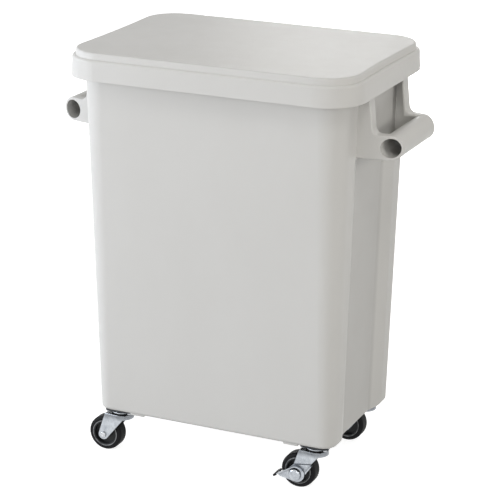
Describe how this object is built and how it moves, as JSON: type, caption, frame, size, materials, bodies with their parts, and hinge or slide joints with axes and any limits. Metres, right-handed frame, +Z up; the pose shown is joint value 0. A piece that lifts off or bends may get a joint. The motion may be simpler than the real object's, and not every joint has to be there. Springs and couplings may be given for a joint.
{
  "type": "wheeled pail",
  "caption": "Tall drafted rectangular plastic pail with a lift-off lid, hollow tube handles on its short sides and swivel plate casters with toe brakes, for storing and rolling bulk goods.",
  "frame": {"origin": "on the floor under the middle of the tub", "axes": "+Z up, +X towards the right handle as pictured, front of the pail towards -Y"},
  "size_m": [0.4988, 0.2988, 0.5865],
  "materials": {
    "pail_plastic": "satin moulded polypropylene",
    "lid_plastic": "satin moulded polypropylene",
    "zinc_steel": "bright zinc plate",
    "bright_steel": "bright steel",
    "hub_plastic": "moulded nylon",
    "tyre_rubber": "smooth rubber tread"
  },
  "bodies": {
    "pail": {"tub": "pail_plastic", "plate_screws": "bright_steel", "caster_plate_fl": "zinc_steel", "kingpin_fl": "bright_steel", "caster_plate_fr": "zinc_steel", "kingpin_fr": "bright_steel", "caster_plate_rl": "zinc_steel", "kingpin_rl": "bright_steel", "caster_plate_rr": "zinc_steel", "kingpin_rr": "bright_steel"},
    "lid": {"lid": "lid_plastic"},
    "swivel_fl": {"race_balls_fl": "bright_steel", "fork_fl": "zinc_steel", "axle_bolt_fl": "bright_steel", "axle_nut_fl": "bright_steel", "axle_sleeve_fl": "bright_steel"},
    "wheel_fl": {"wheel_hub_fl": "hub_plastic", "tyre_fl": "tyre_rubber"},
    "pedal_fr": {"brake_pedal_fr": "zinc_steel", "brake_arm_fr": "zinc_steel"},
    "swivel_fr": {"race_balls_fr": "bright_steel", "fork_fr": "zinc_steel", "axle_bolt_fr": "bright_steel", "axle_nut_fr": "bright_steel", "axle_sleeve_fr": "bright_steel"},
    "wheel_fr": {"wheel_hub_fr": "hub_plastic", "tyre_fr": "tyre_rubber"},
    "pedal_rl": {"brake_pedal_rl": "zinc_steel", "brake_arm_rl": "zinc_steel"},
    "swivel_rl": {"race_balls_rl": "bright_steel", "fork_rl": "zinc_steel", "axle_bolt_rl": "bright_steel", "axle_nut_rl": "bright_steel", "axle_sleeve_rl": "bright_steel"},
    "wheel_rl": {"wheel_hub_rl": "hub_plastic", "tyre_rl": "tyre_rubber"},
    "swivel_rr": {"race_balls_rr": "bright_steel", "fork_rr": "zinc_steel", "axle_bolt_rr": "bright_steel", "axle_nut_rr": "bright_steel", "axle_sleeve_rr": "bright_steel"},
    "wheel_rr": {"wheel_hub_rr": "hub_plastic", "tyre_rr": "tyre_rubber"}
  },
  "joints": [
    {"name": "lid_lift", "type": "slide", "parent": "pail", "child": "lid", "axis": [0, 0, 1], "range_m": [0, 0.12]},
    {"name": "swivel_fl", "type": "hinge", "parent": "pail", "child": "swivel_fl", "pos_m": [-0.149, -0.089, 0.0596], "axis": [0, 0, 1], "continuous": true},
    {"name": "wheel_fl", "type": "hinge", "parent": "swivel_fl", "child": "wheel_fl", "pos_m": [-0.1727, -0.089, 0.025], "axis": [0, 1, 0], "continuous": true},
    {"name": "swivel_fr", "type": "hinge", "parent": "pail", "child": "swivel_fr", "pos_m": [0.149, -0.089, 0.0596], "axis": [0, 0, 1], "continuous": true},
    {"name": "wheel_fr", "type": "hinge", "parent": "swivel_fr", "child": "wheel_fr", "pos_m": [0.1253, -0.089, 0.025], "axis": [0, 1, 0], "continuous": true},
    {"name": "pedal_fr", "type": "hinge", "parent": "swivel_fr", "child": "pedal_fr", "pos_m": [0.1253, -0.089, 0.025], "axis": [0, -1, 0], "range_deg": [0, 22]},
    {"name": "swivel_rl", "type": "hinge", "parent": "pail", "child": "swivel_rl", "pos_m": [-0.149, 0.089, 0.0596], "axis": [0, 0, 1], "continuous": true},
    {"name": "wheel_rl", "type": "hinge", "parent": "swivel_rl", "child": "wheel_rl", "pos_m": [-0.1727, 0.089, 0.025], "axis": [0, 1, 0], "continuous": true},
    {"name": "pedal_rl", "type": "hinge", "parent": "swivel_rl", "child": "pedal_rl", "pos_m": [-0.1727, 0.089, 0.025], "axis": [0, -1, 0], "range_deg": [0, 22]},
    {"name": "swivel_rr", "type": "hinge", "parent": "pail", "child": "swivel_rr", "pos_m": [0.149, 0.089, 0.0596], "axis": [0, 0, 1], "continuous": true},
    {"name": "wheel_rr", "type": "hinge", "parent": "swivel_rr", "child": "wheel_rr", "pos_m": [0.1253, 0.089, 0.025], "axis": [0, 1, 0], "continuous": true}
  ]
}
